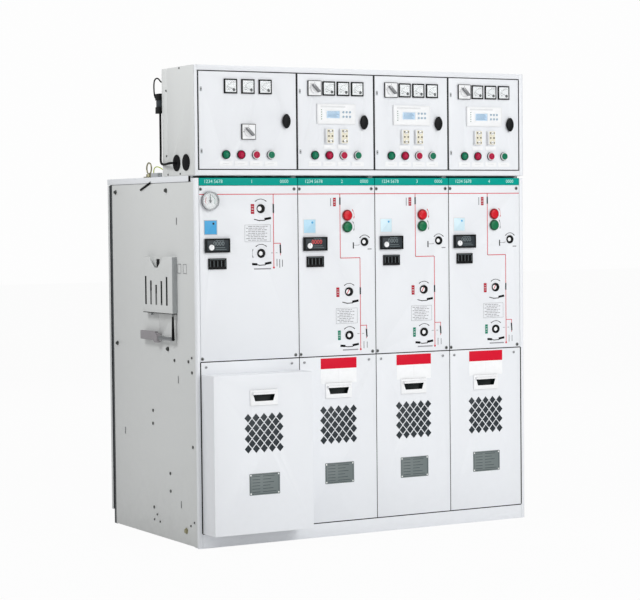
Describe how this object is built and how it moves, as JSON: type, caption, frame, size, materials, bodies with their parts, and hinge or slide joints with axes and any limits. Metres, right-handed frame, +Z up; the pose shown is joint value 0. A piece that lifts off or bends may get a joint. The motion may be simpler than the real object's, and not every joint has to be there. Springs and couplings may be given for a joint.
{
  "type": "switchgear panel",
  "caption": "Ring main unit line-up in a sheet steel cabinet with hinged control box doors on top, operating panels, boxed cable covers, a side pocket and a stored lever.",
  "frame": {"origin": "on the floor, at the centre of the four anchor holes of the plinth", "axes": "+X to the right along the front, +Y from the front to the rear, +Z up"},
  "size_m": [1.5533, 0.9526, 1.85],
  "materials": {
    "painted_light_grey": "smooth light grey powder coat",
    "painted_side_grey": "smooth grey powder coat",
    "bare_steel": "brushed stainless steel",
    "zinc_steel": "yellow zinc plate",
    "copper_bar": "bare copper",
    "cast_resin": "cast epoxy resin",
    "black_plastic": "black moulded plastic",
    "grey_plastic": "grey moulded plastic",
    "red_plastic": "red moulded plastic",
    "green_plastic": "green moulded plastic",
    "black_rubber": "black rubber",
    "wire_cover": "yellow and green wire insulation",
    "dark_steel": "black painted steel"
  },
  "bodies": {
    "cabinet": {"base_frame": "painted_light_grey", "cabinet_frame": "painted_light_grey", "side_and_rear_panels": "painted_side_grey", "roof_tray": "painted_light_grey", "operating_panels": "painted_light_grey", "control_box": "painted_light_grey", "gas_tank": "bare_steel", "copper_bars": "copper_bar", "cable_bushings": "cast_resin", "mechanism_frames": "bare_steel", "panel_instruments": "black_plastic", "document_pocket": "painted_light_grey", "fasteners": "zinc_steel", "cable_fittings": "black_rubber", "control_cable": "black_rubber", "loop_cable": "black_rubber", "earth_wire": "wire_cover"},
    "control_door_1": {"control_door_1": "painted_light_grey"},
    "control_door_2": {"control_door_2": "painted_light_grey"},
    "control_door_3": {"control_door_3": "painted_light_grey"},
    "control_door_4": {"control_door_4": "painted_light_grey"},
    "lower_cover_1": {"lower_cover_1": "painted_light_grey"},
    "lower_cover_2": {"lower_cover_2": "painted_light_grey"},
    "lower_cover_3": {"lower_cover_3": "painted_light_grey"},
    "lower_cover_4": {"lower_cover_4": "painted_light_grey"},
    "door_lock_1": {"door_lock_1": "black_plastic"},
    "door_lock_2": {"door_lock_2": "black_plastic"},
    "door_lock_3": {"door_lock_3": "black_plastic"},
    "door_lock_4": {"door_lock_4": "black_plastic"},
    "selector_knob_1": {"selector_knob_1": "grey_plastic"},
    "selector_knob_2": {"selector_knob_2": "grey_plastic"},
    "selector_knob_3": {"selector_knob_3": "grey_plastic"},
    "selector_knob_4": {"selector_knob_4": "grey_plastic"},
    "switch_shaft_1": {"switch_shaft_1": "bare_steel"},
    "earthing_shaft_1": {"earthing_shaft_1": "bare_steel"},
    "charging_shaft_2": {"charging_shaft_2": "bare_steel"},
    "switch_shaft_2": {"switch_shaft_2": "bare_steel"},
    "earthing_shaft_2": {"earthing_shaft_2": "bare_steel"},
    "charging_shaft_3": {"charging_shaft_3": "bare_steel"},
    "switch_shaft_3": {"switch_shaft_3": "bare_steel"},
    "earthing_shaft_3": {"earthing_shaft_3": "bare_steel"},
    "charging_shaft_4": {"charging_shaft_4": "bare_steel"},
    "switch_shaft_4": {"switch_shaft_4": "bare_steel"},
    "earthing_shaft_4": {"earthing_shaft_4": "bare_steel"},
    "gauge_needle": {"gauge_needle": "black_plastic"},
    "operating_lever": {"operating_lever": "dark_steel"},
    "red_push_button_1": {"red_push_button_1": "red_plastic"},
    "green_push_button_1": {"green_push_button_1": "green_plastic"},
    "red_push_button_2": {"red_push_button_2": "red_plastic"},
    "green_push_button_2": {"green_push_button_2": "green_plastic"},
    "red_push_button_3": {"red_push_button_3": "red_plastic"},
    "green_push_button_3": {"green_push_button_3": "green_plastic"},
    "red_push_button_4": {"red_push_button_4": "red_plastic"},
    "green_push_button_4": {"green_push_button_4": "green_plastic"},
    "open_button_2": {"open_button_2": "red_plastic"},
    "close_button_2": {"close_button_2": "green_plastic"},
    "open_button_3": {"open_button_3": "red_plastic"},
    "close_button_3": {"close_button_3": "green_plastic"},
    "open_button_4": {"open_button_4": "red_plastic"},
    "close_button_4": {"close_button_4": "green_plastic"}
  },
  "joints": [
    {"name": "control_door_1_hinge", "type": "hinge", "parent": "cabinet", "child": "control_door_1", "pos_m": [-0.733, -0.4065, 1.64], "axis": [0, 0, -1], "range_deg": [0, 110]},
    {"name": "control_door_2_hinge", "type": "hinge", "parent": "cabinet", "child": "control_door_2", "pos_m": [-0.303, -0.4065, 1.64], "axis": [0, 0, -1], "range_deg": [0, 110]},
    {"name": "control_door_3_hinge", "type": "hinge", "parent": "cabinet", "child": "control_door_3", "pos_m": [0.048, -0.4065, 1.64], "axis": [0, 0, -1], "range_deg": [0, 110]},
    {"name": "control_door_4_hinge", "type": "hinge", "parent": "cabinet", "child": "control_door_4", "pos_m": [0.399, -0.4065, 1.64], "axis": [0, 0, -1], "range_deg": [0, 110]},
    {"name": "lower_cover_1_lift_off", "type": "slide", "parent": "cabinet", "child": "lower_cover_1", "axis": [0, -1, 0], "range_m": [0, 0.25]},
    {"name": "lower_cover_2_lift_off", "type": "slide", "parent": "cabinet", "child": "lower_cover_2", "axis": [0, -1, 0], "range_m": [0, 0.25]},
    {"name": "lower_cover_3_lift_off", "type": "slide", "parent": "cabinet", "child": "lower_cover_3", "axis": [0, -1, 0], "range_m": [0, 0.25]},
    {"name": "lower_cover_4_lift_off", "type": "slide", "parent": "cabinet", "child": "lower_cover_4", "axis": [0, -1, 0], "range_m": [0, 0.25]},
    {"name": "door_lock_1_turn", "type": "hinge", "parent": "control_door_1", "child": "door_lock_1", "pos_m": [-0.363, -0.4125, 1.64], "axis": [0, 1, 0], "range_deg": [0, 90]},
    {"name": "door_lock_2_turn", "type": "hinge", "parent": "control_door_2", "child": "door_lock_2", "pos_m": [-0.012, -0.4125, 1.64], "axis": [0, 1, 0], "range_deg": [0, 90]},
    {"name": "door_lock_3_turn", "type": "hinge", "parent": "control_door_3", "child": "door_lock_3", "pos_m": [0.339, -0.4125, 1.64], "axis": [0, 1, 0], "range_deg": [0, 90]},
    {"name": "door_lock_4_turn", "type": "hinge", "parent": "control_door_4", "child": "door_lock_4", "pos_m": [0.69, -0.4125, 1.64], "axis": [0, 1, 0], "range_deg": [0, 90]},
    {"name": "selector_knob_1_turn", "type": "hinge", "parent": "control_door_1", "child": "selector_knob_1", "pos_m": [-0.528, -0.4125, 1.59716], "axis": [0, 1, 0], "range_deg": [-45, 45]},
    {"name": "selector_knob_2_turn", "type": "hinge", "parent": "control_door_2", "child": "selector_knob_2", "pos_m": [-0.235, -0.4125, 1.77104], "axis": [0, 1, 0], "range_deg": [-45, 45]},
    {"name": "selector_knob_3_turn", "type": "hinge", "parent": "control_door_3", "child": "selector_knob_3", "pos_m": [0.116, -0.4125, 1.77104], "axis": [0, 1, 0], "range_deg": [-45, 45]},
    {"name": "selector_knob_4_turn", "type": "hinge", "parent": "control_door_4", "child": "selector_knob_4", "pos_m": [0.467, -0.4125, 1.77104], "axis": [0, 1, 0], "range_deg": [-45, 45]},
    {"name": "switch_shaft_1_turn", "type": "hinge", "parent": "cabinet", "child": "switch_shaft_1", "pos_m": [-0.477, -0.3925, 1.301], "axis": [0, 1, 0], "range_deg": [0, 90]},
    {"name": "earthing_shaft_1_turn", "type": "hinge", "parent": "cabinet", "child": "earthing_shaft_1", "pos_m": [-0.477, -0.3925, 1.128], "axis": [0, 1, 0], "range_deg": [0, 90]},
    {"name": "charging_shaft_2_turn", "type": "hinge", "parent": "cabinet", "child": "charging_shaft_2", "pos_m": [-0.012, -0.3925, 1.166], "axis": [0, 1, 0], "range_deg": [0, 180]},
    {"name": "switch_shaft_2_turn", "type": "hinge", "parent": "cabinet", "child": "switch_shaft_2", "pos_m": [-0.087, -0.3925, 0.969], "axis": [0, 1, 0], "range_deg": [0, 90]},
    {"name": "earthing_shaft_2_turn", "type": "hinge", "parent": "cabinet", "child": "earthing_shaft_2", "pos_m": [-0.087, -0.3925, 0.796], "axis": [0, 1, 0], "range_deg": [0, 90]},
    {"name": "charging_shaft_3_turn", "type": "hinge", "parent": "cabinet", "child": "charging_shaft_3", "pos_m": [0.339, -0.3925, 1.166], "axis": [0, 1, 0], "range_deg": [0, 180]},
    {"name": "switch_shaft_3_turn", "type": "hinge", "parent": "cabinet", "child": "switch_shaft_3", "pos_m": [0.264, -0.3925, 0.969], "axis": [0, 1, 0], "range_deg": [0, 90]},
    {"name": "earthing_shaft_3_turn", "type": "hinge", "parent": "cabinet", "child": "earthing_shaft_3", "pos_m": [0.264, -0.3925, 0.796], "axis": [0, 1, 0], "range_deg": [0, 90]},
    {"name": "charging_shaft_4_turn", "type": "hinge", "parent": "cabinet", "child": "charging_shaft_4", "pos_m": [0.69, -0.3925, 1.166], "axis": [0, 1, 0], "range_deg": [0, 180]},
    {"name": "switch_shaft_4_turn", "type": "hinge", "parent": "cabinet", "child": "switch_shaft_4", "pos_m": [0.615, -0.3925, 0.969], "axis": [0, 1, 0], "range_deg": [0, 90]},
    {"name": "earthing_shaft_4_turn", "type": "hinge", "parent": "cabinet", "child": "earthing_shaft_4", "pos_m": [0.615, -0.3925, 0.796], "axis": [0, 1, 0], "range_deg": [0, 90]},
    {"name": "gauge_needle_turn", "type": "hinge", "parent": "cabinet", "child": "gauge_needle", "pos_m": [-0.697, -0.4125, 1.332], "axis": [0, 1, 0], "range_deg": [-135, 135]},
    {"name": "operating_lever_unclip", "type": "slide", "parent": "cabinet", "child": "operating_lever", "axis": [-1, 0, 0], "range_m": [0, 0.12]},
    {"name": "red_push_button_1_press", "type": "slide", "parent": "control_door_1", "child": "red_push_button_1", "axis": [0, 1, 0], "range_m": [0, 0.003], "stiffness_N_per_m": 300},
    {"name": "green_push_button_1_press", "type": "slide", "parent": "control_door_1", "child": "green_push_button_1", "axis": [0, 1, 0], "range_m": [0, 0.003], "stiffness_N_per_m": 300},
    {"name": "red_push_button_2_press", "type": "slide", "parent": "control_door_2", "child": "red_push_button_2", "axis": [0, 1, 0], "range_m": [0, 0.003], "stiffness_N_per_m": 300},
    {"name": "green_push_button_2_press", "type": "slide", "parent": "control_door_2", "child": "green_push_button_2", "axis": [0, 1, 0], "range_m": [0, 0.003], "stiffness_N_per_m": 300},
    {"name": "red_push_button_3_press", "type": "slide", "parent": "control_door_3", "child": "red_push_button_3", "axis": [0, 1, 0], "range_m": [0, 0.003], "stiffness_N_per_m": 300},
    {"name": "green_push_button_3_press", "type": "slide", "parent": "control_door_3", "child": "green_push_button_3", "axis": [0, 1, 0], "range_m": [0, 0.003], "stiffness_N_per_m": 300},
    {"name": "red_push_button_4_press", "type": "slide", "parent": "control_door_4", "child": "red_push_button_4", "axis": [0, 1, 0], "range_m": [0, 0.003], "stiffness_N_per_m": 300},
    {"name": "green_push_button_4_press", "type": "slide", "parent": "control_door_4", "child": "green_push_button_4", "axis": [0, 1, 0], "range_m": [0, 0.003], "stiffness_N_per_m": 300},
    {"name": "open_button_2_press", "type": "slide", "parent": "cabinet", "child": "open_button_2", "axis": [0, 1, 0], "range_m": [0, 0.006], "stiffness_N_per_m": 600},
    {"name": "close_button_2_press", "type": "slide", "parent": "cabinet", "child": "close_button_2", "axis": [0, 1, 0], "range_m": [0, 0.006], "stiffness_N_per_m": 600},
    {"name": "open_button_3_press", "type": "slide", "parent": "cabinet", "child": "open_button_3", "axis": [0, 1, 0], "range_m": [0, 0.006], "stiffness_N_per_m": 600},
    {"name": "close_button_3_press", "type": "slide", "parent": "cabinet", "child": "close_button_3", "axis": [0, 1, 0], "range_m": [0, 0.006], "stiffness_N_per_m": 600},
    {"name": "open_button_4_press", "type": "slide", "parent": "cabinet", "child": "open_button_4", "axis": [0, 1, 0], "range_m": [0, 0.006], "stiffness_N_per_m": 600},
    {"name": "close_button_4_press", "type": "slide", "parent": "cabinet", "child": "close_button_4", "axis": [0, 1, 0], "range_m": [0, 0.006], "stiffness_N_per_m": 600}
  ]
}
